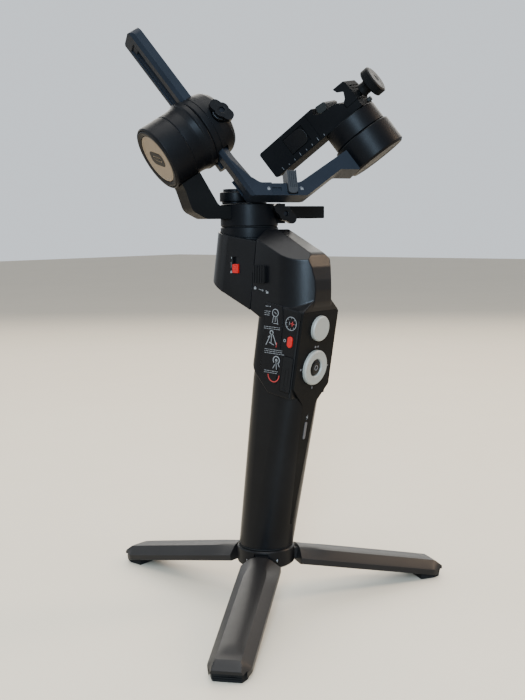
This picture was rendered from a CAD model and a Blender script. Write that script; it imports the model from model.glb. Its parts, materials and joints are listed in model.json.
"""Looks of a folding three-axis gimbal stabilizer on its mini tripod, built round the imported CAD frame."""
import json
import math

import bmesh
import bpy
import numpy as np
from mathutils import Matrix, Vector


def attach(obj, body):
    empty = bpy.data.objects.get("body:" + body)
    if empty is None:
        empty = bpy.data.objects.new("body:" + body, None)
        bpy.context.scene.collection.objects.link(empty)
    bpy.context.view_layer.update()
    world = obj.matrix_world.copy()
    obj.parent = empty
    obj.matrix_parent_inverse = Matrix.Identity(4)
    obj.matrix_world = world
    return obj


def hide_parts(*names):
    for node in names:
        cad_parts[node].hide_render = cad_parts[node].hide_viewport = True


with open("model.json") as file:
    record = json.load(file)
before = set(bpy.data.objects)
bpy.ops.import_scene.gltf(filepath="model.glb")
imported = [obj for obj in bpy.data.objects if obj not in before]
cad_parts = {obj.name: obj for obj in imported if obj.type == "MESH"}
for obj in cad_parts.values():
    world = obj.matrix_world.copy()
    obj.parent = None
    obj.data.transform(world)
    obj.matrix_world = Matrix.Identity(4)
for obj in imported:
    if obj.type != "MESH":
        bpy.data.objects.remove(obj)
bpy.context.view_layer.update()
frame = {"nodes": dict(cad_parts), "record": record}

MM = 0.001
rad = math.radians

# ---------------------------------------------------------------- local frames of the object

# Millimetres and degrees, here and in all that is drawn below
TRIPOD_Y = -27.737
HANDLE_FOOT, HANDLE_LEAN = 36, 9.5
POST_Y, PAN_REST = 11, 156
ROLL_HEIGHT, ROLL_SLOPE, ROLL_REST = 319.56, 31.6, 20.2
CAN_X, TILT_REST = -49, 135
LEG_PIN_X, LEG_PIN_Z, LEG_SLOPE = 14, 29.5, 12


def shift(x=0.0, y=0.0, z=0.0):
    """A move in millimetres, for a world in metres."""
    return Matrix.Translation((x * MM, y * MM, z * MM))


def shift_mm(x, y, z):
    """The same move, for meshes that are still drawn in millimetres."""
    return Matrix.Translation((x, y, z))


def turn(degrees, axis):
    return Matrix.Rotation(rad(degrees), 4, axis)


def swing(start, end):
    """The turn that brings one direction to another."""
    return Vector(start).rotation_difference(Vector(end)).to_matrix().to_4x4()


def to_m(matrix):
    """The same placing, drawn in millimetres, for a world in metres."""
    out = matrix.copy()
    out.translation *= MM
    return out


BASE = shift(0, TRIPOD_Y, 0)
HANDLE = BASE @ shift(0, 0, HANDLE_FOOT) @ turn(HANDLE_LEAN, "X")
POST = BASE @ shift(0, POST_Y, 0)
PAN = POST @ turn(PAN_REST, "Z")
AXIS = PAN @ shift(0, 0, ROLL_HEIGHT) @ turn(ROLL_SLOPE, "Y")
ROLL = AXIS @ turn(ROLL_REST, "X")
CAN = ROLL @ shift(CAN_X, 0, 0)
TILT = CAN @ turn(TILT_REST, "Z")
SPOKES = [BASE @ turn(90 + 120 * i, "Z") @ shift(LEG_PIN_X, 0, LEG_PIN_Z) @ turn(LEG_SLOPE, "Y")
    for i in range(3)]

# ---------------------------------------------------------------- materials

ROUGH_SPREAD = 0.06
GRAIN_DEPTH = 0.00006


def material(name, color, rough, metal=0.0, grain=0.0, grain_scale=2600.0, mottle=0.06, spec=0.5,
             tint_scale=45.0):
    """A procedural finish: mottled colour, uneven roughness and a fine surface grain."""
    m = bpy.data.materials.new(name)
    m.use_nodes = True
    nodes, links = m.node_tree.nodes, m.node_tree.links
    shader = nodes["Principled BSDF"]
    shader.inputs["Metallic"].default_value = metal
    shader.inputs["Specular IOR Level"].default_value = spec
    place = nodes.new("ShaderNodeTexCoord").outputs["Object"]

    def noise(scale, detail):
        n = nodes.new("ShaderNodeTexNoise")
        n.inputs["Scale"].default_value = scale
        n.inputs["Detail"].default_value = detail
        links.new(place, n.inputs["Vector"])
        return n.outputs["Fac"]

    ramp = nodes.new("ShaderNodeMix")
    ramp.data_type = "RGBA"
    ramp.inputs[6].default_value = (*(c * (1 - mottle * 2) for c in color), 1)
    ramp.inputs[7].default_value = (*(min(1.0, c * (1 + mottle * 2) + 0.002) for c in color), 1)
    links.new(noise(tint_scale, 4.0), ramp.inputs[0])
    links.new(ramp.outputs[2], shader.inputs["Base Color"])
    span = nodes.new("ShaderNodeMapRange")
    span.inputs["To Min"].default_value = max(0.02, rough - ROUGH_SPREAD)
    span.inputs["To Max"].default_value = min(1.0, rough + ROUGH_SPREAD)
    links.new(noise(tint_scale * 6, 6.0), span.inputs["Value"])
    links.new(span.outputs["Result"], shader.inputs["Roughness"])
    if grain:
        bump = nodes.new("ShaderNodeBump")
        bump.inputs["Strength"].default_value = grain
        bump.inputs["Distance"].default_value = GRAIN_DEPTH
        links.new(noise(grain_scale, 3.0), bump.inputs["Height"])
        links.new(bump.outputs["Normal"], shader.inputs["Normal"])
    return m


# Colour, roughness and the rest. The record's slots come first, then materials that are worn in one of them.
FINISHES = {
    "black_satin": ((0.0011, 0.0011, 0.0014), 0.32, dict(grain=0.3, mottle=0.12, spec=0.11)),
    "black_matte": ((0.0017, 0.0017, 0.0019), 0.45,
                    dict(grain=0.45, grain_scale=1800, mottle=0.12, spec=0.1)),
    "leg_grey": ((0.0052, 0.0044, 0.004), 0.4, dict(grain=0.5, grain_scale=1500, mottle=0.1, spec=0.17)),
    "black_metal": ((0.004, 0.0045, 0.006), 0.3, dict(metal=0.3, grain=0.25, mottle=0.12, spec=0.14)),
    "black_rubber": ((0.002, 0.002, 0.002), 0.75, dict(grain=0.8, grain_scale=1200, mottle=0.15, spec=0.12)),
    "steel": ((0.5, 0.5, 0.52), 0.3, dict(metal=1.0, grain=0.2, mottle=0.05)),
    "brass": ((0.5, 0.34, 0.12), 0.3, dict(metal=1.0, grain=0.2, mottle=0.05)),
    "badge_beige": ((0.125, 0.085, 0.048), 0.42, dict(metal=0.1, grain=0.3, mottle=0.04)),
    "button_white": ((0.165, 0.162, 0.14), 0.42, dict(grain=0.3, mottle=0.03)),
    "signal_red": ((0.27, 0.003, 0.002), 0.42, dict(grain=0.3, mottle=0.06, spec=0.2)),
    "pad_grey": ((0.007, 0.0075, 0.007), 0.6, dict(grain=0.4, mottle=0.08, spec=0.08)),
    "light_clear": ((0.055, 0.05, 0.05), 0.4, dict(mottle=0.04, spec=0.2)),
    "board_green": ((0.012, 0.07, 0.028), 0.5, dict(grain=0.4, mottle=0.2, tint_scale=400)),
    "cell_blue": ((0.025, 0.11, 0.25), 0.3, dict(mottle=0.05)),
    "arm_face": ((0.0052, 0.007, 0.0102), 0.42, dict(grain=0.35, mottle=0.1, spec=0.07)),
    "print_white": ((0.1, 0.1, 0.098), 0.55, dict(grain=0.2, mottle=0.05)),
    "print_grey": ((0.06, 0.06, 0.062), 0.55, dict(grain=0.2, mottle=0.05)),
    "print_red": ((0.22, 0.005, 0.004), 0.5, dict(grain=0.2, mottle=0.05)),
    "knob_face": ((0.03, 0.0295, 0.028), 0.6, dict(metal=0.2, spec=0.12, grain=0.4, mottle=0.08)),
    "motor_black": ((0.0012, 0.0013, 0.0017), 0.41, dict(grain=0.35, mottle=0.12, spec=0.06)),
    "panel_black": ((0.0014, 0.0014, 0.0014), 0.5,
                    dict(grain=0.45, grain_scale=1800, mottle=0.12, spec=0.05)),
    "plate_black": ((0.0017, 0.0017, 0.0019), 0.7, dict(grain=0.5, grain_scale=1800, mottle=0.12, spec=0.03)),
    "latch_grey": ((0.009, 0.0098, 0.011), 0.42, dict(grain=0.5, mottle=0.1, spec=0.2)),
}
MAT = {name: material(name, color, rough, **rest) for name, (color, rough, rest) in FINISHES.items()}
RECORD_SLOT = {row["node"]: row["material_slot"] for row in frame["record"]["subparts"]}

# ---------------------------------------------------------------- objects


def linked(name, data):
    """A new object in the scene."""
    obj = bpy.data.objects.new(name, data)
    bpy.context.scene.collection.objects.link(obj)
    return obj


def smooth(mesh):
    mesh.polygons.foreach_set("use_smooth", [True] * len(mesh.polygons))


def bevelled(obj, width, segments, angle):
    b = obj.modifiers.new("edges", "BEVEL")
    b.width = width * MM
    b.segments = segments
    b.limit_method = "ANGLE"
    b.angle_limit = rad(angle)
    b.use_clamp_overlap = True
    return b


def new_object(name, mesh, body, finish, place, bevel=0.0, segments=2, angle=32, sharp=38, replaces=()):
    """Links a mesh drawn in millimetres, rides it on its body and gives it its finish.

    A finish is one name for both the slot and its material, or a pair: the slot, and the material worn in it.
    """
    slot, look = finish if isinstance(finish, tuple) else (finish, finish)
    mesh.transform(place @ Matrix.Scale(MM, 4))
    mesh.materials.clear()
    mesh.materials.append(MAT[look])
    obj = linked(name, mesh)
    smooth(mesh)
    if bevel:
        bevelled(obj, bevel, segments, angle).miter_outer = "MITER_ARC"
        w = obj.modifiers.new("normals", "WEIGHTED_NORMAL")
        w.keep_sharp = True
        w.weight = 60
    else:
        mesh.set_sharp_from_angle(angle=rad(sharp))
    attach(obj, body)
    if replaces:
        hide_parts(*replaces)


# The CAD nodes: their split edges are welded, their corners eased and their finishes set
for node, obj in frame["nodes"].items():
    obj.data.materials.clear()
    obj.data.materials.append(MAT[RECORD_SLOT[node]])
    obj.modifiers.new("weld", "WELD").merge_threshold = 2e-6
    smooth(obj.data)
    bevelled(obj, 0.3, 2, 34)
    obj.modifiers.new("normals", "WEIGHTED_NORMAL").keep_sharp = False

# ---------------------------------------------------------------- outlines


def rect(x0, y0, x1, y1):
    return [(x0, y0), (x1, y0), (x1, y1), (x0, y1)]


def arc(cx, cy, r, a0, a1, steps):
    angles = [rad(a0 + (a1 - a0) * i / steps) for i in range(steps + 1)]
    return [(cx + r * math.cos(a), cy + r * math.sin(a)) for a in angles]


def capsule(x, low, high, r, steps=16):
    """An upright slot outline; low and high are the centres of its round ends."""
    return arc(x, high, r, 0, 180, steps) + arc(x, low, r, 180, 360, steps)


def spun(points, degrees):
    c, s = math.cos(rad(degrees)), math.sin(rad(degrees))
    return [(x * c - y * s, x * s + y * c) for x, y in points]


def rounded(points, radius, steps=5):
    """An outline with its corners rounded; radius is one number or one for each point."""
    out = []
    n = len(points)
    for i, p in enumerate(points):
        r = radius[i] if isinstance(radius, (list, tuple)) else radius
        if r <= 0:
            out.append(tuple(p))
            continue
        p = np.array(p, float)
        a = np.array(points[i - 1], float) - p
        b = np.array(points[(i + 1) % n], float) - p
        la, lb = np.linalg.norm(a), np.linalg.norm(b)
        a, b = a / la, b / lb
        half = math.acos(max(-1.0, min(1.0, float(a @ b)))) / 2
        if abs(half - math.pi / 2) < 0.01:
            out.append(tuple(p))
            continue
        cut = min(r / math.tan(half), la * 0.49, lb * 0.49)
        r = cut * math.tan(half)
        centre = p + (a + b) / np.linalg.norm(a + b) * (r / math.sin(half))
        s, e = p + a * cut - centre, p + b * cut - centre
        sweep = math.atan2(s[0] * e[1] - s[1] * e[0], float(s @ e))
        for k in range(steps + 1):
            t = sweep * k / steps
            c, q = math.cos(t), math.sin(t)
            out.append((centre[0] + s[0] * c - s[1] * q, centre[1] + s[0] * q + s[1] * c))
    return out



def soft(profile, radius, steps=4, closed=False):
    """A lathe profile with its inner corners rounded, or all of them when it closes on itself."""
    if closed:
        out = rounded(profile[:-1], radius, steps)
        return out + [out[0]]
    inner = range(1, len(profile) - 1)
    return rounded(profile, [0] + [radius[i] if isinstance(radius, list) else radius for i in inner] + [0],
        steps)


# ---------------------------------------------------------------- meshes, all drawn in millimetres

PLANES = {
    "XY": lambda u, v, w: (u, v, w),
    "XZ": lambda u, v, w: (u, w, v),
    "YZ": lambda u, v, w: (w, u, v),
}


def mesh_of(verts, faces, fill=False):
    """A mesh with doubled corners merged and its faces turned outwards; fill closes its open ends."""
    mesh = bpy.data.meshes.new("mesh")
    mesh.from_pydata(verts, [], faces)
    bm = bmesh.new()
    bm.from_mesh(mesh)
    bmesh.ops.remove_doubles(bm, verts=bm.verts, dist=1e-5)
    if fill:
        bmesh.ops.holes_fill(bm, edges=[e for e in bm.edges if e.is_boundary])
    bmesh.ops.recalc_face_normals(bm, faces=bm.faces)
    bm.to_mesh(mesh)
    bm.free()
    return mesh


def prism(outline, low, high, plane="XZ"):
    """An outline in one plane, pushed along the axis that is left."""
    n = len(outline)
    to = PLANES[plane]
    verts = [to(u, v, low) for u, v in outline] + [to(u, v, high) for u, v in outline]
    faces = [tuple(range(n)), tuple(range(2 * n - 1, n - 1, -1))]
    faces += [(i, (i + 1) % n, n + (i + 1) % n, n + i) for i in range(n)]
    return mesh_of(verts, faces)


def lathe(profile, axis, segments, at=(0, 0, 0)):
    """A solid of revolution: profile points are (radius, distance along the axis)."""
    verts, faces = [], []
    rows = len(profile)
    for i in range(segments):
        a = 2 * math.pi * i / segments
        c, s = math.cos(a), math.sin(a)
        for r, h in profile:
            p = {"z": (r * c, r * s, h), "x": (h, r * c, r * s), "y": (r * s, h, r * c)}[axis]
            verts.append((p[0] + at[0], p[1] + at[1], p[2] + at[2]))
        j = (i + 1) % segments
        faces += [(i * rows + k, j * rows + k, j * rows + k + 1, i * rows + k + 1) for k in range(rows - 1)]
    return mesh_of(verts, faces, fill=profile[0] != profile[-1])


def rod(axis, radius, low, high, at=(0, 0, 0), segments=48):
    return lathe(rect(0, low, radius, high), axis, segments, at)


def block(x, y, z, place=None):
    m = prism(rect(x[0], y[0], x[1], y[1]), z[0], z[1], "XY")
    if place is not None:
        m.transform(place)
    return m


def hull(points):
    bm = bmesh.new()
    for p in points:
        bm.verts.new(p)
    bmesh.ops.convex_hull(bm, input=bm.verts)
    bmesh.ops.recalc_face_normals(bm, faces=bm.faces)
    mesh = bpy.data.meshes.new("hull")
    bm.to_mesh(mesh)
    bm.free()
    return mesh


def joined(parts):
    """Several meshes as one mesh of separate shells."""
    bm = bmesh.new()
    for p in parts:
        bm.from_mesh(p)
        bpy.data.meshes.remove(p)
    mesh = bpy.data.meshes.new("joined")
    bm.to_mesh(mesh)
    bm.free()
    return mesh


def baked(*objects):
    """The mesh that the first object's modifiers make; the objects are used up."""
    bpy.context.view_layer.update()
    done = bpy.data.meshes.new_from_object(objects[0].evaluated_get(bpy.context.evaluated_depsgraph_get()))
    for o in objects:
        mesh = o.data
        bpy.data.objects.remove(o)
        bpy.data.meshes.remove(mesh)
    return done


def combined(base, steps):
    """Boolean work: steps are pairs of an operation and a mesh."""
    target = linked("carve", base)
    tools = []
    for kind, mesh in steps:
        tools.append(linked("tool", mesh))
        m = target.modifiers.new("b", "BOOLEAN")
        m.operation = kind
        m.solver = "EXACT"
        m.object = tools[-1]
    return baked(target, *tools)


def carved(base, cutters=(), adders=()):
    return combined(base, [("UNION", m) for m in adders] + [("DIFFERENCE", m) for m in cutters])


def intersected(a, b):
    return combined(a, [("INTERSECT", b)])


def melted(mesh, voxel, passes):
    """One watertight skin round a mesh, with softly rounded edges."""
    obj = linked("melt", mesh)
    r = obj.modifiers.new("r", "REMESH")
    r.mode = "VOXEL"
    r.voxel_size = voxel
    s = obj.modifiers.new("s", "SMOOTH")
    s.factor = 0.5
    s.iterations = passes
    return baked(obj)


# ---------------------------------------------------------------- tripod


def leg_mesh():
    root, tip, low, high = 6.4, 115.0, -5.0, 5.6
    edge_z = 4.35
    stations = [root + (tip - 12 - root) * i / 26 for i in range(27)]
    stations += [tip - 12 + 12 * i / 8 for i in range(1, 9)]
    verts, faces = [], []
    for x in stations:
        t = (x - root) / (tip - root)
        w = 13.0 - 0.5 * t
        if x > tip - 8:
            w = min(w, 12.5 - (x - tip + 8) / 8 * 3.1)
        band = 7.2 - 1.7 * math.exp(-((x - root - 7) / 8.5) ** 2)
        lid = 20.0 if x < tip - 7.5 else 5.35 - (x - tip + 7.5) * 0.52
        fade = min(max((x - tip + 17) / 8, 0), 1)
        crown = high - (high - edge_z - 0.12) * fade * fade * (3 - 2 * fade)
        half = [(w - 0.7, low), (w, low + 0.6), (w, -1.3), (w - 0.15, -1.0)]
        for k in range(1, 5):
            q = k / 5
            half.append((w - 0.15 + (band - w + 0.15) * q, -1.0 + (edge_z + 1.0) * q
                + 0.15 * math.sin(math.pi * q)))
        for k in range(7):
            y = band * (1 - k / 6)
            half.append((y, edge_z + (crown - edge_z) * (1 - (y / band) ** 2)))
        half = [(y, min(z, lid)) for y, z in half]
        ring = half + [(-y, z) for y, z in reversed(half[:-1])]
        verts += [(x, y, z) for y, z in ring]
    n = len(ring)
    for i in range(len(stations) - 1):
        for k in range(n):
            faces.append((i * n + k, i * n + (k + 1) % n, (i + 1) * n + (k + 1) % n, (i + 1) * n + k))
    faces.append(tuple(range(n)))
    faces.append(tuple(range((len(stations) - 1) * n, len(stations) * n)))
    body = mesh_of(verts, faces)
    tongue = block((0, 8.4), (-4.2, 4.2), (-3.6, 3.6))
    knuckle = rod("y", 4.2, -4.2, 4.2)
    cuts = [block((14, 93), (-7.6, 7.6), (-9, 1.5)), block((98.2, 130), (-10.65, 10.65), (-20, -0.6)),
        rod("y", 1.8, -9, 9)]
    return carved(body, cuts, [tongue, knuckle])


def pad_mesh():
    start, tip = 98.5, 114.4

    def floor_at(x):
        return x * math.tan(rad(LEG_SLOPE)) - LEG_PIN_Z / math.cos(rad(LEG_SLOPE))

    side = [(start, -0.9), (start + 1, floor_at(start + 1)), (tip, floor_at(tip)), (tip, -0.9)]
    plan = rounded([(start, -10.4), (tip - 5, -10.4), (tip, -8.2), (tip, 8.2), (tip - 5, 10.4),
        (start, 10.4)], 1.2)
    pad = intersected(prism(side, -12, 12, "XZ"), prism(plan, -30, 5, "XY"))
    grooves = [block((tip - 0.5, tip + 3), (-12, 12), (-3.0 - 1.2 * k, -2.5 - 1.2 * k)) for k in range(2)]
    return carved(pad, grooves)


for i, word in enumerate(("one", "two", "three")):
    new_object(f"leg_shell_{word}", leg_mesh(), f"leg_{word}", "leg_grey", SPOKES[i],
               bevel=0.4, segments=3, angle=17, replaces=(f"leg_{i + 1}",))
    new_object(f"foot_rubber_{word}", pad_mesh(), f"leg_{word}", "black_rubber", SPOKES[i],
               bevel=0.4, replaces=(f"foot_pad_{i + 1}",))

# ---------------------------------------------------------------- arms and motors on the roll axis

ROLL_KNOB_AT = (29.2, 0, -1.8)
PAN_KNOB_AT = (-14.8, 0, 249.2)
JAW_SCREW_Z = -37


def on_roll_axis(along, across):
    """A point in the roll motor's own frame, as (x, z) of the pan frame."""
    c, s = math.cos(rad(ROLL_SLOPE)), math.sin(rad(ROLL_SLOPE))
    return along * c + across * s, ROLL_HEIGHT - along * s + across * c


def pan_arm_mesh():
    inner_low = on_roll_axis(54.7, -41)
    side = [(-50, 246.3), (32.4, 246.3), (41.6, 251), on_roll_axis(68.6, -23.3), on_roll_axis(68.6, -14),
            on_roll_axis(54.7, -14), inner_low, (inner_low[0] - 1.9, 254.1), (-50, 254.1)]
    outline = rounded(side, [0.6, 5, 7, 5, 0, 0, 5, 5, 0.6], 8)
    arm = prism(outline, -8, 8, "XZ")
    socket = rod("x", 20.8, 30, 90, segments=128)
    flange = rod("x", 24, 20, 50, segments=128)
    place = shift_mm(0, 0, ROLL_HEIGHT) @ turn(ROLL_SLOPE, "Y")
    for m in (socket, flange):
        m.transform(place)
    grooves = [block((-47, -20), (-3.1, 3.1), z) for z in ((253.2, 256), (244, 247.2))]
    return carved(arm, [flange, socket, *grooves])


new_object("pan_arm_bar", pan_arm_mesh(), "pan_arm", ("black_satin", "panel_black"), PAN,
           bevel=0.5, segments=3, angle=30, replaces=("pan_arm",))

housing = lathe(soft([(0, 44.9), (19.1, 44.9), (19.1, 42.2), (21.2, 42.2), (22, 43.0), (22, 45.4),
    (21.3, 46.2), (20.6, 49.6), (20.5, 51), (20.5, 56.9), (20.15, 57.1), (20.15, 57.5), (20.5, 57.7),
    (20.5, 70.8), (19.8, 71.6), (19.2, 71.6), (19.2, 69.5), (0, 69.5)], 0.35), "x", 160)
new_object("roll_motor_shell", housing, "pan_arm", ("black_satin", "motor_black"), AXIS,
           replaces=("roll_motor_housing",))
trim = lathe(soft([(15.7, 69.8), (18.9, 69.8), (18.9, 71.4), (18.3, 72.05), (17.6, 72.05), (15.7, 71.5),
    (15.7, 69.8)], 0.3, closed=True), "x", 160)
new_object("roll_motor_trim", trim, "pan_arm", "black_matte", AXIS, replaces=("roll_trim_ring",))
disc = lathe(soft([(0, 69.8), (15.4, 69.8), (15.4, 71.2), (15.0, 71.5), (14.2, 71.5), (13.8, 71.2),
    (0, 71.2)], 0.15), "x", 128)
new_object("roll_badge_disc", disc, "pan_arm", "badge_beige", AXIS, replaces=("roll_badge",))
# A plain generic mark on the badge: a rounded frame with a bar in it
mark = prism(rounded(rect(-8.0, -4.4, 8.0, 4.4), 3.6, 8), 71.15, 71.4, "YZ")
hole = prism(rounded(rect(-5.2, -1.7, 5.2, 1.7), 1.4, 6), 70, 73, "YZ")
frame_mark = carved(mark, [hole])
badge_bar = prism(rounded(rect(-4.3, -1.0, 4.3, 1.0), 0.8, 4), 71.15, 71.4, "YZ")
new_object("badge_mark", joined([frame_mark, badge_bar]), "pan_arm", ("black_satin", "black_matte"),
           AXIS @ turn(-16, "X"))

clamp = lathe(soft([(0, 23), (13, 23), (17.6, 24.4), (20, 27.8), (21.3, 34), (21.4, 37.4), (21.0, 37.6),
    (21.0, 38.0), (21.4, 38.2), (21.4, 41.2), (20.9, 41.8), (0, 41.8)], [0, 2.5, 3.5, 4, 6, 0.1, 0.1, 0.1,
    0.1, 0.3, 0.3, 0]), "x", 128)
clamp = carved(clamp, [
    block((33.2, 40.8), (-10.8, 10.8), (-40, 40)), rod("y", 6, 18.4, 30, ROLL_KNOB_AT)])
new_object("roll_clamp_shell", clamp, "roll_head", ("black_satin", "motor_black"), ROLL,
           bevel=0.35, angle=40, replaces=("roll_clamp",))


def wing_outline(span, waist, tip):
    return (arc(span - tip, 0, tip, -80, 80, 10) + arc(0, 0, waist, 50, 130, 8)
            + arc(-span + tip, 0, tip, 100, 260, 10) + arc(0, 0, waist, 230, 310, 8))


def wing_knob(name, span, waist, tip, angle, low, high, collar, at, body, place, node):
    """A screw knob with two wings; collar is the neck's radius, its beginning and the stud's end."""
    neck_radius, neck_from, stud_to = collar
    ears = prism(spun(wing_outline(span, waist, tip), angle), low, high, "XZ")
    neck = lathe(soft(rect(0, neck_from, neck_radius, low + 0.5), 0.3), "y", 48)
    stud = rod("y", 1.5, stud_to, neck_from + 0.5)
    hub = lathe(soft([(0, high - 1), (waist * 0.86, high - 1), (waist * 0.78, high), (0, high)], 0.4), "y",
        48)
    socket = rod("y", 1.9, high - 1.6, high + 3, segments=6)
    knob = carved(ears, [socket], [neck, stud, hub])
    knob.transform(shift_mm(*at))
    new_object(name, knob, body, "black_satin", place, bevel=0.5, segments=3, angle=35, replaces=(node,))
    screw = lathe(soft(rect(0, high - 1.55, 1.75, high - 1.0), 0.1), "y", 6, at)
    new_object(name + "_screw", screw, body, "black_metal", place)


wing_knob("roll_knob_wings", 8.2, 4.5, 3.3, 72, 21.9, 25.4, (5.2, 18.8, 11.2), ROLL_KNOB_AT,
          "roll_knob", ROLL, "roll_clamp_knob")
wing_knob("pan_knob_wings", 8.6, 4.4, 3.2, 35, 18.6, 22.0, (3.8, 12.8, 8.6), PAN_KNOB_AT,
          "pan_knob", PAN, "pan_clamp_knob")

# The ends of the diagonal's inner edge, which the latch slides along
MID_FROM, MID_TO = (10.0, -61.8), (31.0, -48.1)


def roll_arm_mesh():
    side = [(33.5, 72.5), (33.5, -42.5), (31, -48.1), (10, -61.8), (-28.6, -61.8), (-28.6, -77),
        (-17.5, -69.6), (11.2, -71), (40.5, -51.6), (40.5, 72.5)]
    arm = prism(rounded(side, [0, 5, 5, 6, 0.5, 0.8, 4, 5, 3.5, 0], 8), -10.5, 10.5, "XZ")
    end = rounded(rect(-10.5, -90, 10.5, 72.5), [0, 0, 5, 5], 10)
    arm = intersected(arm, prism(end, -60, 60, "YZ"))
    cuts = [block((20, 50), (-3.9, 1.6), (-36, 62)), block((9, 60), (-20, -3.4), (-90, -26)),
            block((-60, 9.01), (-20, -6.5), (-90, -26))]
    cuts += [block((-1.5, 1.5), (-1.5, 1.5), (-100, 100), shift_mm(40.5, y, 20) @ turn(45, "Z"))
        for y in (-10.5, 10.5)]
    rise = math.degrees(math.atan2(MID_TO[1] - MID_FROM[1], MID_TO[0] - MID_FROM[0]))
    place = shift_mm(MID_FROM[0], 0, MID_FROM[1]) @ turn(-rise, "Y")
    cuts.append(block((1.9, 18.1), (8.8, 14), (-7.5, 8), place))
    # The broad groove along the stick's outer face round the slot, and its narrow end below the motor
    cuts.append(block((39.6, 44), (-5.9, 3.6), (-22, 66)))
    cuts.append(block((38.4, 44), (-3.1, 1.2), (-47, -30)))
    # The broad chamfer on the stick's inner front edge, which fades out at the bend
    cuts.append(hull([(x, y, z) for z in (-26, 10) for x, y in ((37.8, 10.5), (33.5, 7.2), (33, 11.5),
        (37.8, 11.5))] + [(33.4, 10.55, -46), (33.0, 11.5, -46)]))
    # The shallow slot beside the latch
    cuts.append(block((11.6, 17.4), (8.0, 14), (-5.1, -2.7), place))
    return carved(arm, cuts), place


arm_mesh, latch_place = roll_arm_mesh()
new_object("roll_arm_bar", arm_mesh, "roll_arm", ("black_satin", "arm_face"), ROLL, bevel=0.5, segments=3,
    angle=30, replaces=("roll_arm",))


def latch_mesh():
    front = prism(rounded(rect(2.2, -7.2, 8.2, 7.4), [2.2, 2.2, 0.8, 0.8], 8), 9.1, 12.0, "XZ")
    top = block((2.2, 8.2), (2, 12.0), (0.6, 7.4))
    ribs = [block((3.0 + 1.2 * k, 3.6 + 1.2 * k), y, z)
            for y, z in (((11.3, 13), (-3.6, 9)), ((0, 13), (6.8, 9))) for k in range(4)]
    return carved(front, ribs, [top])


new_object("latch_slider", latch_mesh(), "latch", ("black_matte", "latch_grey"), ROLL @ to_m(latch_place),
    bevel=0.35, angle=35, replaces=("roll_arm_latch",))

# ---------------------------------------------------------------- tilt motor and camera plate

tilt_can = lathe(soft([(0, -75.3), (15.2, -75.3), (15.2, -76.5), (18.6, -76.5), (20, -75.2), (20, -59.2),
    (19.5, -58.6), (0, -58.6)], 0.4), "z", 160)
new_object("tilt_motor_shell", tilt_can, "roll_arm", ("black_satin", "motor_black"), CAN,
    replaces=("tilt_motor_stator",))
cap = lathe(soft([(0, -76.3), (10.4, -76.3), (10.4, -75.9), (10.9, -75.9), (10.9, -76.3), (15, -76.3),
    (15, -75.6), (0, -75.6)], 0.1), "z", 128)
new_object("tilt_motor_cap", cap, "roll_arm", "black_matte", CAN, replaces=("tilt_end_cap",))
rotor = lathe(soft([(0, -58.3), (17.9, -58.3), (18.4, -57.7), (18.4, -46.6), (17.9, -46.1), (0, -46.1)], 0.3),
    "z", 160)
new_object("tilt_motor_bell", rotor, "camera_mount", ("black_metal", "motor_black"), TILT,
    replaces=("tilt_rotor",))

side = [(-58.5, -45.8), (15.5, -45.8), (15.5, -41), (6.4, -41), (6.4, -37.5), (2.5, -34), (-8.6, -33),
    (-13.4, -30.4), (-11.4, -26.5), (-58.5, -26.5)]
plate = prism(rounded(side, [1.6, 0.4, 0.4, 0.4, 0.4, 0.5, 0.4, 0.5, 0.6, 1.6], 4), -13, 13, "XZ")
plate = carved(plate, [
    rod("x", 2.4, 0.4, 20, (0, 0, JAW_SCREW_Z)),
    block((-40, -24), (-14, -11.8), (-41.2, -29.8)),
    *[block((-18.6, -18.0), y, (-45.9, -26.4)) for y in ((-14, -12.6), (12.6, 14))],
    *[block((-54, -16), y, (-27.0, -26)) for y in ((-8.6, -8.0), (8.0, 8.6))],
    rod("x", 2.6, -60, -50.5, (0, 0, -36), 32),
])
new_object("plate_block", plate, "camera_mount", ("black_matte", "plate_black"), TILT, bevel=0.4, segments=3,
           angle=30, replaces=("plate_base",))
tab = prism(rounded(rect(-39.7, -40.9, -24.3, -30.1), [0.4, 4.6, 4.6, 0.4], 8), -13.3, -12.1, "XZ")
new_object("plate_button", tab, "camera_mount", "black_satin", TILT, bevel=0.3, replaces=("plate_tab",))
ticks = [block((-51 + 5.1 * k, -51 + 5.1 * k + 0.3), (-13.1, -12.9), (-44.9, -44.9 + (1.2 if k % 3 else 2.2)))
         for k in range(8)]
new_object("plate_scale", joined(ticks), "camera_mount", ("black_matte", "print_grey"), TILT)
jaw_pad = prism(rounded([(-10.4, -31.5), (-8.4, -32.7), (-4.6, -33), (-2.4, -29.8), (-3.4, -28),
    (-9.6, -27.2)], 0.6, 4), -12, 12, "XZ")
jaw_pad = carved(jaw_pad, [block((-12, 0), (-10 + 2.5 * k, -9.4 + 2.5 * k), (-27.9, -26)) for k in range(9)])
new_object("jaw_pad_ribbed", jaw_pad, "camera_mount", "pad_grey", TILT, bevel=0.25,
    replaces=("fixed_jaw_pad",))
hook = [(6.8, -40.7), (15.5, -40.7), (15.5, -30), (14.8, -26.5), (6.2, -26.3), (7.4, -29.5), (11, -31.6),
    (9, -35.5), (6.8, -37)]
jaw = prism(rounded(hook, [0.4, 0.8, 2, 0.8, 0.4, 0.6, 0.8, 0.6, 0.4], 5), -12.4, 12.4, "XZ")
jaw = carved(jaw, [rod("x", 2.4, 0, 30, (0, 0, JAW_SCREW_Z)), block((14.9, 17), (-9, 9), (-33, -32.4)),
    block((14.9, 17), (-9, 9), (-31, -30.4))])
new_object("jaw_hook", jaw, "jaw", ("black_matte", "plate_black"), TILT, bevel=0.4, segments=3,
    replaces=("sliding_jaw",))

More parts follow.
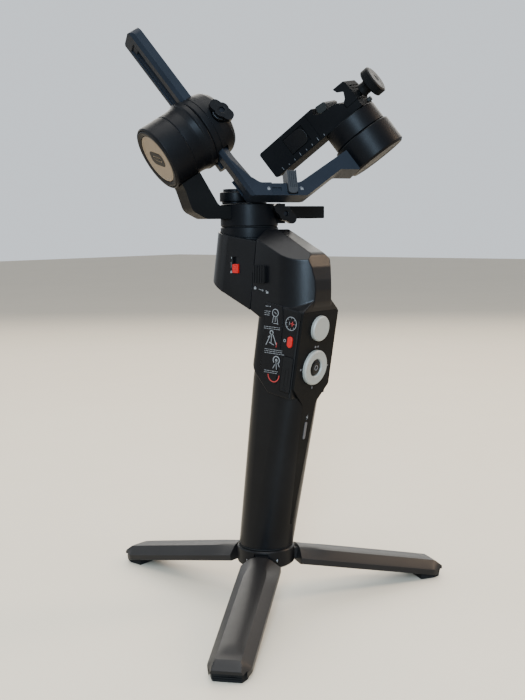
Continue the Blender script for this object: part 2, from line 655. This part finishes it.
knob_body = lathe(soft([(0, 1), (2.1, 1), (2.1, 17.4), (4.6, 17.4), (4.2, 20), (4.4, 23.6), (8.6, 23.6),
    (9.3, 24.3), (9.3, 29.0), (8.4, 29.5), (0, 29.5)], 0.3), "x", 144)
notches = [rod("x", 0.28, 24.4, 28.9, (0, y, z), 8) for y, z in arc(0, 0, 9.36, 0, 354, 59)]
knob_body = carved(knob_body, [joined(notches)])
knob_body.transform(shift_mm(0, 0, JAW_SCREW_Z))
new_object("jaw_knob_wheel", knob_body, "jaw_knob", ("black_metal", "panel_black"), TILT, bevel=0.18,
    angle=35, replaces=("jaw_clamp_knob",))
face = lathe(soft([(0, 29.3), (8.0, 29.3), (8.0, 29.7), (7.7, 29.8), (2.4, 29.75), (2.2, 29.5), (0, 29.5)],
    0.08), "x", 96)
face.transform(shift_mm(0, 0, JAW_SCREW_Z))
new_object("jaw_knob_face", face, "jaw_knob", ("steel", "knob_face"), TILT)
stop = lathe(soft([(0, 15.8), (1.5, 15.8), (1.5, 18.1), (1.1, 18.5), (0, 18.5)], 0.2), "x", 32,
    (0, 5.5, -43.4))
new_object("jaw_stop_pin", stop, "camera_mount", ("steel", "knob_face"), TILT, replaces=("jaw_stop_screw",))

# ---------------------------------------------------------------- pan axis

seal = lathe([(6, 241.02), (17.62, 241.02), (17.62, 241.49), (6, 241.49), (6, 241.02)], "z", 128)
new_object("pan_gap_seal", seal, "pan_base", "black_rubber", POST)

can = lathe(soft([(0, 229), (18.3, 229), (18.3, 233.9), (18.0, 234.1), (18.0, 234.5), (18.3, 234.7),
    (18.3, 240.6), (17.8, 241.1), (0, 241.1)], 0.15), "z", 160)
can = carved(can, [rod("z", 3.4, 234, 250, segments=32)])
new_object("pan_motor_can", can, "pan_base", ("black_metal", "motor_black"), POST,
    replaces=("pan_motor_stator",))
rotor = lathe(soft([(0, 241.5), (17.7, 241.5), (18.2, 242.0), (18.2, 254.9), (17.6, 255.5), (0, 255.5)],
    0.25), "z", 160)
boss = prism(rounded(rect(-20.5, -12, 0, 12.4), [3, 0, 0, 3], 8), 243.2, 255.5, "XY")
rotor = carved(rotor, [
    block((-60, 60), (-8.3, 8.3), (246, 254.4)),
    rod("z", 3.4, 235, 245.3, segments=32),
    rod("y", 1.8, 0, 20, PAN_KNOB_AT),
    rod("y", 4.6, 12.4, 30, PAN_KNOB_AT),
], [boss])
new_object("pan_clamp_shell", rotor, "pan_head", ("black_satin", "motor_black"), PAN, bevel=0.3, angle=40,
           replaces=("pan_rotor_clamp",))
top_cap = lathe(soft([(0, 255.8), (8.8, 255.8), (8.8, 257.2), (10.2, 257.2), (10.2, 262.6), (9.6, 263.1),
    (8.0, 263.1), (8.0, 265), (0, 265)], 0.3), "z", 128, (6.4, -6.2, 0))
new_object("pan_cap_stepped", top_cap, "pan_head", ("black_metal", "motor_black"), PAN,
    replaces=("pan_top_cap",))

# The rotor's low round lid, which the pan cap stands beside
lid = lathe(soft(rect(0, 255.3, 10.2, 256.5), 0.2), "z", 96, (-0.5, 1.0, 0))
new_object("pan_rotor_lid", lid, "pan_head", "black_matte", PAN)

# The parting face between the head and the pan base: where it begins, and how far it runs back as it falls
PART_Y, PART_Z, PART_RUN, PART_FALL = -9.8, 232.7, 5.5, 41.7
FOLD_Z = 212


def part_y(z):
    return PART_Y + (PART_Z - z) * PART_RUN / PART_FALL


def fold_bore(low, high):
    """The fold pivot's hole, square to the parting face."""
    bore = rod("y", 6.4, low, high)
    tilt = math.atan2(PART_RUN, PART_FALL)
    place = shift_mm(0, part_y(FOLD_Z), FOLD_Z) @ swing((0, 1, 0), (0, math.cos(tilt), math.sin(tilt)))
    bore.transform(place)
    return bore


def pan_base_mesh():
    gap = 0.04
    side = ([(part_y(190.3) + gap, 190.3)] + arc(29.4, 213.4, 6, -62, 8, 12)
            + [(31, 239.2), (part_y(232.6) + gap, 232.6)])
    column = prism(arc(0, 15.4, 19.6, 0, 180, 64) + [(-17.5, -20), (17.5, -20)], 180, 250, "XY")
    for v in column.vertices:
        if v.co.y > -19:
            v.co.y -= (v.co.z - FOLD_Z) * 0.16
    body = intersected(prism(side, -30, 30, "YZ"), column)
    seat = rod("z", 18.6, 228.7, 260, (0, POST_Y, 0), 160)
    return melted(carved(body, [seat, fold_bore(-5, 9.6)]), 0.3, 2)


base_mesh = carved(pan_base_mesh(), [
    prism(rounded(rect(3.4, 212.6, 8.2, 223.0), 0.7, 5), -30, -17.8, "YZ")])
new_object("pan_base_shell", base_mesh, "pan_base", "black_satin", BASE, replaces=("pan_base_housing",))
switch = prism(rounded(rect(3.6, 212.9, 8.0, 218.4), 0.5, 5), -20.2, -18.1, "YZ")
switch = carved(switch, [block((-21, -19.9), (4.2, 7.4), (213.9 + 1.1 * k, 214.3 + 1.1 * k))
    for k in range(4)])
new_object("pan_switch_red", switch, "pan_switch", "signal_red", BASE, bevel=0.25,
    replaces=("pan_lock_switch",))

# ---------------------------------------------------------------- upper housing

HEAD_HALF = 18.0
SEAM = 0.14
PANEL_RADII = [1.2, 3, 6, 0.7, 0.7, 6, 3, 1.2]
PORT = rect(-16.6, 109.2, -9, 131)
POWER = (-12.5, 138.7, 141.9)
SHUTTER_AT, RING_AT = (0, 0, 149), (0, 0, 124.4)
# The control panel is upright down to this height; below it, it follows the taper of the grip
TAPER_TOP, TAPER = 101, 0.021


def tapered(mesh):
    for v in mesh.vertices:
        if v.co.z < TAPER_TOP:
            v.co.y += (TAPER_TOP - v.co.z) * TAPER
    return mesh


def above_split(gap):
    line = [(-30, 105.5 + gap), (0, 105.5 + gap), (18.5, 121 + gap), (30, 130 + gap)]
    return prism(line + [(30, 220), (-30, 220)], -30, 30, "YZ")


def panel_outline(grow):
    h, n = 17.6 + grow, 6.6 + grow
    return [(-h, 159.6 + grow), (-h, 112 - grow), (-n, TAPER_TOP - grow), (-0.8 - grow, 20 - grow),
            (0.8 + grow, 20 - grow), (n, TAPER_TOP - grow), (h, 112 - grow), (h, 159.6 + grow)]


def panel_slab(grow, low, high):
    return tapered(prism(rounded(panel_outline(grow), PANEL_RADII, 6), low, high, "XZ"))


def control_mesh():
    fr, bk = 8.0, 2.0
    plan = (arc(18 - bk, -17.8 + bk, bk, -90, 0, 6) + arc(18 - fr, 18 - fr, fr, 0, 90, 16)
            + arc(-18 + fr, 18 - fr, fr, 90, 180, 16) + arc(-18 + bk, -17.8 + bk, bk, 180, 270, 6))
    return intersected(prism(plan, 90, 160, "XY"), above_split(0))


def head_mesh():
    side = [(part_y(239.4), 239.4), (-16.7, 239.6), (-43.2, 225), (-45.8, 217), (-47.2, 209), (-47.4, 203),
        (-46.8, 195), (-45.3, 190.9), (-30, 186.2), (-11.4, 186.3), (part_y(190.4), 190.4)]
    radii = [0, 5, 5, 8, 12, 12, 12, 0, 2, 2, 0]
    body = prism(rounded(side, radii, 8), -30, 30, "YZ")
    # The rear corners, seen from above, are quadratic curves
    a, b, c = (HEAD_HALF, -26), (HEAD_HALF, -37.6), (7.7, -47.6)
    curve = []
    for k in range(25):
        t = k / 24
        curve.append(tuple((1 - t) ** 2 * p + 2 * t * (1 - t) * q + t * t * r for p, q, r in zip(a, b, c)))
    plan = ([(HEAD_HALF, 20), (-HEAD_HALF, 20)] + [(-x, y) for x, y in curve] + [(-7.7, -60), (7.7, -60)]
        + curve[::-1])
    body = intersected(body, prism(plan, 150, 260, "XY"))
    cutters = []
    for sign in (-1, 1):
        edge = Vector((0, -23.1, -11.8))
        across = Vector((sign * -9.5, 0, 6.8))
        normal = edge.cross(across)
        if normal.z < 0:
            normal.negate()
        place = shift_mm(sign * HEAD_HALF, -11.3, 233.2) @ swing((0, 0, 1), normal.normalized())
        cutters.append(block((-150, 150), (-150, 150), (0, 300), place))
    return carved(body, cutters)


def shoulder_mesh():
    """The part of the head that widens down to the control panel's top corners."""
    points = []
    for sign in (-1, 1):
        points += [(sign * 17.6, -45.45, 190.3), (sign * 17.6, -44.6, 185.5), (sign * 17.9, -28, 187.0),
            (sign * 17.9, -28, 193.0), (sign * 7.9, -46.9, 197.6), (sign * 7.0, -30, 197.6),
            (sign * 7.9, -44.6, 185.5)]
    return hull(points)


def upper_mesh():
    lift = shift_mm(0, 0, HANDLE_FOOT) @ turn(HANDLE_LEAN, "X")
    control = control_mesh()
    control.transform(lift)
    body = carved(head_mesh(), [], [control])
    body = melted(carved(body, [fold_bore(-14, 5)], [shoulder_mesh()]), 0.34, 3)
    seat = intersected(panel_slab(SEAM, -60, -17.95), block((-30, 30), (-60, 10), (90, 175)))
    port = [(y + (0.3 if y > -12 else -0.3), z + (0.3 if z > 120 else -0.3)) for y, z in PORT]
    cuts = [seat, prism(rounded(port, 1.2, 5), -23, -16.3, "YZ"), prism(capsule(*POWER, 2.1), -23, -14.6,
        "YZ"), block((-13, 13), (-30, -9), (109, 157.8))]
    for m in cuts:
        m.transform(lift)
    cuts.append(block((-30, -15.6), (-17.4, -9.7), (210.2, 214.8)))
    return carved(body, cuts)


new_object("upper_shell", upper_mesh(), "stand", "black_satin", BASE, replaces=("upper_housing",))


def grip_mesh():
    around, steps = 128, 60
    low, high = -8.0, 134.0
    verts = []
    for i in range(steps + 1):
        z = low + (high - low) * i / steps
        t = min(max(z / 100, 0), 1.1)
        r = 17.3 + (14 - 17.3) * t
        hx = 17.3 + (17 - 17.3) * t
        hy = 17.3 + (20 - 17.3) * t
        for k in range(around):
            a = 2 * math.pi * k / around
            c, s = math.cos(a), math.sin(a)
            sx = 0 if abs(c) < 1e-6 else math.copysign(1, c)
            sy = 0 if abs(s) < 1e-6 else math.copysign(1, s)
            verts.append((sx * (hx - r) + r * c, sy * (hy - r) + r * s, z))
    faces = []
    for i in range(steps):
        for k in range(around):
            faces.append((i * around + k, i * around + (k + 1) % around, (i + 1) * around + (k + 1) % around,
                (i + 1) * around + k))
    faces.append(tuple(range(around)))
    faces.append(tuple(range(steps * around, (steps + 1) * around)))
    foot = block((-60, 60), (-60, 60), (-80, 0), turn(-HANDLE_LEAN, "X") @ shift_mm(0, 0, 1.6))
    return carved(mesh_of(verts, faces), [foot, above_split(-SEAM), panel_slab(SEAM, -60, -17.95),
        rod("z", 11, -20, 96, segments=64)])


new_object("grip_skin", grip_mesh(), "stand", "black_satin", HANDLE, sharp=40, replaces=("grip_shell",))

panel = panel_slab(0, -19.6, -18.1)
light_hole = prism(rounded(rect(-1.4, 77.3, 1.4, 89.3), 1.39, 8), -40, 0, "XZ")
panel = carved(panel, [rod("y", 8.1, -40, 0, SHUTTER_AT, 96), rod("y", 11.2, -40, 0, RING_AT, 96),
    light_hole])
new_object("control_plate", panel, "stand", ("black_matte", "panel_black"), HANDLE, bevel=0.3,
    replaces=("control_panel",))
light = prism(rounded(rect(-1.1, 77.6, 1.1, 89), 1.09, 8), -19.75, -18.1, "XZ")
new_object("light_strip", tapered(light), "stand", "light_clear", HANDLE, bevel=0.2,
    replaces=("battery_light",))

shutter = lathe(soft([(0, -21.5), (6.0, -21.75), (7.3, -21.9), (7.9, -21.1), (7.9, -17.2), (0, -17.2)],
    [0, 3, 0.5, 0.5, 0.1, 0]), "y", 128, SHUTTER_AT)
new_object("shutter_cap", shutter, "shutter", "button_white", HANDLE, replaces=("shutter_button",))
ring = lathe(soft([(5.3, -20.8), (5.9, -21.5), (8.2, -21.45), (10.2, -21.8), (11.0, -21.0), (11.0, -17.2),
    (5.3, -17.2), (5.3, -20.8)], 0.45, closed=True), "y", 144, RING_AT)
new_object("ring_dial", ring, "ring", "button_white", HANDLE, replaces=("control_ring",))
centre = lathe(soft([(0, -21.1), (3.4, -21.35), (5.0, -20.6), (5.0, -17.2), (0, -17.2)], [0, 1.5, 0.4, 0.1,
    0]), "y", 96, RING_AT)
new_object("centre_cap", centre, "centre", "black_satin", HANDLE, replaces=("centre_button",))
centre_mark = carved(lathe(soft(rect(0, -21.42, 1.7, -21.2), 0.05), "y", 48, RING_AT),
                     [rod("y", 1.2, -23, -20, RING_AT)])
new_object("centre_mark", centre_mark, "centre", ("button_white", "print_grey"), HANDLE)

power = prism(capsule(*POWER, 1.9), -18.7, -15.7, "YZ")
new_object("power_cap", power, "power", "signal_red", HANDLE, bevel=0.45, segments=3,
    replaces=("power_button",))
port = prism(rounded(PORT, 1.0, 5), -18.25, -16.6, "YZ")
port = carved(port, [block((-19, -17.9), (-14.2, -11.4), (110.3, 110.9))])
new_object("port_lid", port, "port_flap", "black_matte", HANDLE, bevel=0.25, replaces=("port_cover",))
lid_loop = carved(prism(capsule(-13.2, 113.6, 122.6, 1.5, 12), -18.35, -18.2, "YZ"),
                  [prism(capsule(-13.2, 113.6, 122.6, 1.1, 12), -19, -18, "YZ")])
new_object("port_lid_mark", lid_loop, "port_flap", ("black_matte", "black_satin"), HANDLE)

slider = prism(rounded([(-17.9, 207.2), (-7.9, 207.2), (-8.9, 217.9), (-17.9, 217.9)], 0.8, 4), -20.4, -18.3,
    "YZ")
slider = carved(slider, [block((-22, -19.5), (-17.2 + 1.35 * k, -16.6 + 1.35 * k), (206, 219))
    for k in range(7)], [block((-19, -16), (-14, -10), (210.5, 214.5))])
new_object("fold_slider_ribbed", slider, "fold_slider", "black_matte", BASE, bevel=0.22,
    replaces=("fold_lock_slider",))

# ---------------------------------------------------------------- printed marks, all of them plain signs

ART = HANDLE @ to_m(shift_mm(0, 0, 138) @ turn(-7, "X") @ shift_mm(0, 0, -138))
STICKER_FACE, SIDE_FACE, BASE_FACE, PANEL_FACE = -18.35, -18.0, -19.25, -19.69
PRINT_PROUD, PRINT_SUNK = 0.09, 0.05
STROKE = 0.7


def flat(outline, face):
    """A thin print on a side face: outline in (y, z), face the x of the surface it lies on."""
    return prism(outline, face - PRINT_PROUD, face + PRINT_SUNK, "YZ")


def bar_mark(y, z, length, height=0.45, tilt=0.0, face=STICKER_FACE):
    height *= STROKE
    m = flat(rounded(rect(-length / 2, -height / 2, length / 2, height / 2),
                     min(length, height) * 0.4, 3), face)
    m.transform(shift_mm(0, y, z) @ turn(tilt, "X"))
    return m


def bars(face, *rows):
    """Several bars on one face, a row of (y, z, length, height, tilt) each."""
    return [bar_mark(*row, face=face) for row in rows]


def ring_mark(y, z, outer, inner, face=STICKER_FACE, sweep=(0, 360), steps=32):
    a0, a1 = sweep
    rim = arc(y, z, outer, a0, a1, steps)
    core = arc(y, z, inner, a1, a0, steps)
    if a1 - a0 < 360:
        return flat(rim + core, face)
    verts = [(x, *p) for x in (face - PRINT_PROUD, face + PRINT_SUNK) for p in rim[:-1] + core[::-1][:-1]]
    n = steps
    faces = []
    for i in range(n):
        j = (i + 1) % n
        faces += [(i, j, n + j, n + i), (2 * n + i, 3 * n + i, 3 * n + j, 2 * n + j),
                  (i, 2 * n + i, 2 * n + j, j), (n + i, n + j, 3 * n + j, 3 * n + i)]
    return mesh_of(verts, faces)


def words(y, z, length, rows, seed):
    """Rows of short dashes in the place of a line of writing."""
    out = []
    for row in range(rows):
        at = -length / 2
        k = seed + 7 * row
        while at < length / 2 - 0.8:
            k = (k * 37 + 11) % 101
            w = 0.7 + (k % 5) * 0.42
            out.append(bar_mark(y - at - w / 2, z - 1.15 * row, w, 0.42))
            at += w + 0.42
    return out


prints = [mark for row in (
    (5.2, 156.0, 4.2, 3, 5), (1.2, 146.6, 12.4, 2, 9), (-0.4, 132.8, 14.0, 3, 23), (1.0, 119.6, 11.2, 2, 41),
) for mark in words(*row)]
prints += bars(STICKER_FACE, (5.4, 159.0, 2.2, 0.5), (3.0, 159.0, 0.8, 0.8))
# First sign: a device held upright, with an arrow over it
prints += [ring_mark(-1.2, 155.4, 2.5, 2.05)]
prints += bars(STICKER_FACE, (-1.2, 151.6, 3.4, 0.5, 90), (-2.9, 150.6, 4.6, 0.5, 78), (0.6, 151.2, 4.2, 0.5,
    104), (-1.2, 155.4, 2.2, 0.5, 35), (-1.6, 149.0, 3.4, 0.5))
# Second sign: two arms that open
prints += bars(STICKER_FACE, (3.9, 138.6, 7.6, 0.7, 118), (-0.9, 139.4, 8.0, 0.7, 66))
prints += [ring_mark(1.4, 143.2, 1.5, 0.9)]
prints += bars(STICKER_FACE, (1.5, 139.6, 5.6, 0.6, 92), (1.2, 136.4, 4.2, 0.6, 20), (3.0, 141.0, 3.0, 0.6,
    140))
# Third sign: a turn to the locked place
prints += [ring_mark(-2.8, 126.6, 2.7, 2.1, sweep=(-40, 220))]
prints += bars(STICKER_FACE, (-2.8, 123.6, 5.6, 0.6, 84), (-0.9, 122.6, 3.0, 0.6, 120), (-4.6, 124.0, 3.0,
    0.6, 60))
prints += [ring_mark(-2.8, 126.6, 0.9, 0.3)]
# Round sign beside the sticker
dial = [ring_mark(-11.6, 151.5, 4.2, 3.85, face=SIDE_FACE)]
dial += bars(SIDE_FACE, *((y, z, 0.9, 0.35, 45 * k) for k, (y, z) in enumerate(arc(-11.6, 151.5, 3.3, 0, 315,
    7))), (-10.4, 151.5, 2.0, 0.5, 90))
dial += [ring_mark(-8.4, 140.4, 0.95, 0.6, face=SIDE_FACE, steps=20)]
new_object("sticker_signs", joined(prints), "stand", ("black_satin", "print_white"), ART)
new_object("side_signs", joined(dial), "stand", ("black_satin", "print_white"), HANDLE)
reds = bars(SIDE_FACE, (-12.6, 151.5, 2.9, 0.7, 90), (-12.6, 151.5, 2.9, 0.7))
new_object("side_sign_red", joined(reds), "stand", ("black_satin", "print_red"), HANDLE)
reds = [ring_mark(-0.9, 117.4, 4.6, 4.0, sweep=(180, 360)), bar_mark(-2.6, 136.0, 3.2, 0.6, 100)]
new_object("sticker_red_signs", joined(reds), "stand", ("black_satin", "print_red"), ART)


def padlock(y, z, size, face, opened):
    outline = rect(y - size / 2, z - size * 0.4, y + size / 2, z + size * 0.3)
    body = flat(rounded(outline, size * 0.15, 3), face)
    aside = size * 0.42 if opened else 0
    bow = ring_mark(y + aside, z + size * 0.32, size * 0.36, size * 0.2, face, (0, 180), 12)
    return [body, bow]


head_signs = padlock(-8.6, 203.9, 1.7, SIDE_FACE, False) + padlock(-18.2, 201.6, 1.7, SIDE_FACE, True)
head_signs += bars(SIDE_FACE, (-13.2, 203.0, 3.6, 0.35, 13), (-14.9, 202.9, 1.2, 0.35, 55),
                   (-14.9, 202.4, 1.2, 0.35, -25))
new_object("fold_signs", joined(head_signs), "stand", ("black_satin", "print_white"), BASE)
base_signs = padlock(9.7, 222.4, 1.4, BASE_FACE, True) + padlock(9.7, 213.4, 1.4, BASE_FACE, False)
base_signs += bars(BASE_FACE, (9.7, 217.9, 3.6, 0.3, 90))
new_object("pan_lock_signs", joined(base_signs), "pan_base", ("black_satin", "print_white"), BASE)


def arm_padlock(along, opened):
    """A small padlock on the roll arm's front face, beside the latch's track."""
    aside = 0.6 if opened else 0
    body = rounded(rect(-0.9, -1.0, 0.9, 0.35), 0.2, 3)
    bow = arc(aside, 0.3, 0.75, 0, 180, 10) + arc(aside, 0.3, 0.45, 180, 0, 10)
    return [prism([(along + x, z - 3.9) for x, z in shape], 10.45, 10.58, "XZ") for shape in (body, bow)]


new_object("arm_lock_signs", joined(arm_padlock(20.2, False) + arm_padlock(-0.8, True)), "roll_arm",
    ("black_satin", "print_grey"), ROLL @ to_m(latch_place))


def panel_mark(x, z, *shapes):
    """Small prints on the control panel's outer face, about (x, z): width, height and two offsets each."""
    return [prism(rounded(rect(x + dx - w / 2, z + dz - h / 2, x + dx + w / 2, z + dz + h / 2),
        min(w, h) * 0.3, 3), PANEL_FACE, -19.5, "XZ") for w, h, dx, dz in shapes]


panel_prints = (panel_mark(0.0, 137.4, (1.5, 1.2, -1.3, 0), (1.2, 1.2, 1.3, 0))
                + panel_mark(-13.3, 124.2, (1.2, 1.2, 0, 0), (0.4, 0.4, 1.1, 0))
                + panel_mark(13.9, 124.2, (1.0, 1.0, 0, 0))
                + panel_mark(0.6, 111.2, (0.5, 1.3, 0, 0), (1.1, 0.4, 0, 0.6)))
new_object("panel_signs", joined(panel_prints), "stand", ("black_matte", "print_grey"), HANDLE)
bolt = prism([(0.5, 93.9), (-0.9, 91.8), (0.0, 91.8), (-0.4, 90.3), (0.9, 92.4), (0.05, 92.4)],
             PANEL_FACE + 0.18, -19.3, "XZ")
new_object("battery_sign", bolt, "stand", ("black_matte", "print_white"), HANDLE)

# ---------------------------------------------------------------- camera, light and floor

# The camera fitted to the photo: focal length and picture height in pixels, then its place
F_PX, FRAME_H = 980.0, 700.0
SENSOR = 36
PITCH, ROLL_CAM, HEIGHT, DISTANCE, AZ, OFF = rad(7.15), rad(-0.6), 241.0, 620.0, rad(-50), 0.9
right = Vector((math.cos(AZ), math.sin(AZ), 0))
level = Vector((-math.sin(AZ), math.cos(AZ), 0))
eye = (-DISTANCE * level - OFF * right + Vector((0, TRIPOD_Y, HEIGHT))) * MM
forward = level * math.cos(PITCH) - Vector((0, 0, math.sin(PITCH)))
up = Vector((0, 0, math.cos(PITCH))) + level * math.sin(PITCH)
cam_x = right * math.cos(ROLL_CAM) + up * math.sin(ROLL_CAM)
cam_y = -right * math.sin(ROLL_CAM) + up * math.cos(ROLL_CAM)
cam_data = bpy.data.cameras.new("camera")
cam_data.sensor_width = SENSOR
cam_data.lens = SENSOR * F_PX / FRAME_H
cam_data.clip_start = 0.01
camera = linked("camera", cam_data)
camera.matrix_world = Matrix.Translation(eye) @ Matrix((
    (cam_x.x, cam_y.x, -forward.x, 0), (cam_x.y, cam_y.y, -forward.y, 0),
    (cam_x.z, cam_y.z, -forward.z, 0), (0, 0, 0, 1)))
bpy.context.scene.camera = camera

world = bpy.data.worlds.new("studio")
bpy.context.scene.world = world
world.use_nodes = True
sky = world.node_tree.nodes["Background"]
sky.inputs["Color"].default_value = (0.88, 0.94, 1.0, 1)
sky.inputs["Strength"].default_value = 1.0


def area(name, at, target, size, power, color=(1, 1, 1)):
    data = bpy.data.lights.new(name, "AREA")
    data.shape = "RECTANGLE"
    data.size, data.size_y = size
    data.energy = power
    data.color = color
    lamp = linked(name, data)
    lamp.location = at
    lamp.rotation_euler = (Vector(target) - Vector(at)).to_track_quat("-Z", "Y").to_euler()


# Directions are named from the camera: a cool window behind it, a pale wall behind the object and a warm one
# on its right
area("window_front", (-1.22, -0.98, 0.72), (0, 0, 0.24), (0.3, 1.15), 80, (0.58, 0.78, 1.0))
area("window_left", (-0.9, 0.95, 0.8), (0, 0, 0.25), (0.9, 1.3), 9, (0.85, 0.92, 1.0))
area("wall_back", (1.15, 0.85, 1.15), (0, 0, 0.22), (2.4, 1.4), 48, (1.0, 0.95, 0.86))
area("wall_right", (1.2, -0.95, 1.0), (0, 0, 0.24), (0.45, 0.6), 20, (1.0, 0.72, 0.48))
area("overhead", (-0.1, -0.1, 1.6), (0, 0, 0.1), (1.1, 1.1), 26, (1.0, 0.98, 0.95))

# The floor lies a hair below z = 0, so that it doesn't meet the feet
FLOOR_HALF, FLOOR_Z = 6.0, -0.0002
floor_mesh = bpy.data.meshes.new("floor")
corners = rect(-FLOOR_HALF, -FLOOR_HALF, FLOOR_HALF, FLOOR_HALF)
floor_mesh.from_pydata([(x, y, FLOOR_Z) for x, y in corners], [], [(0, 1, 2, 3)])
floor_obj = linked("floor", floor_mesh)
floor_mesh.materials.append(material("floor", (0.44, 0.38, 0.29), 0.6, mottle=0.02, tint_scale=2.0))
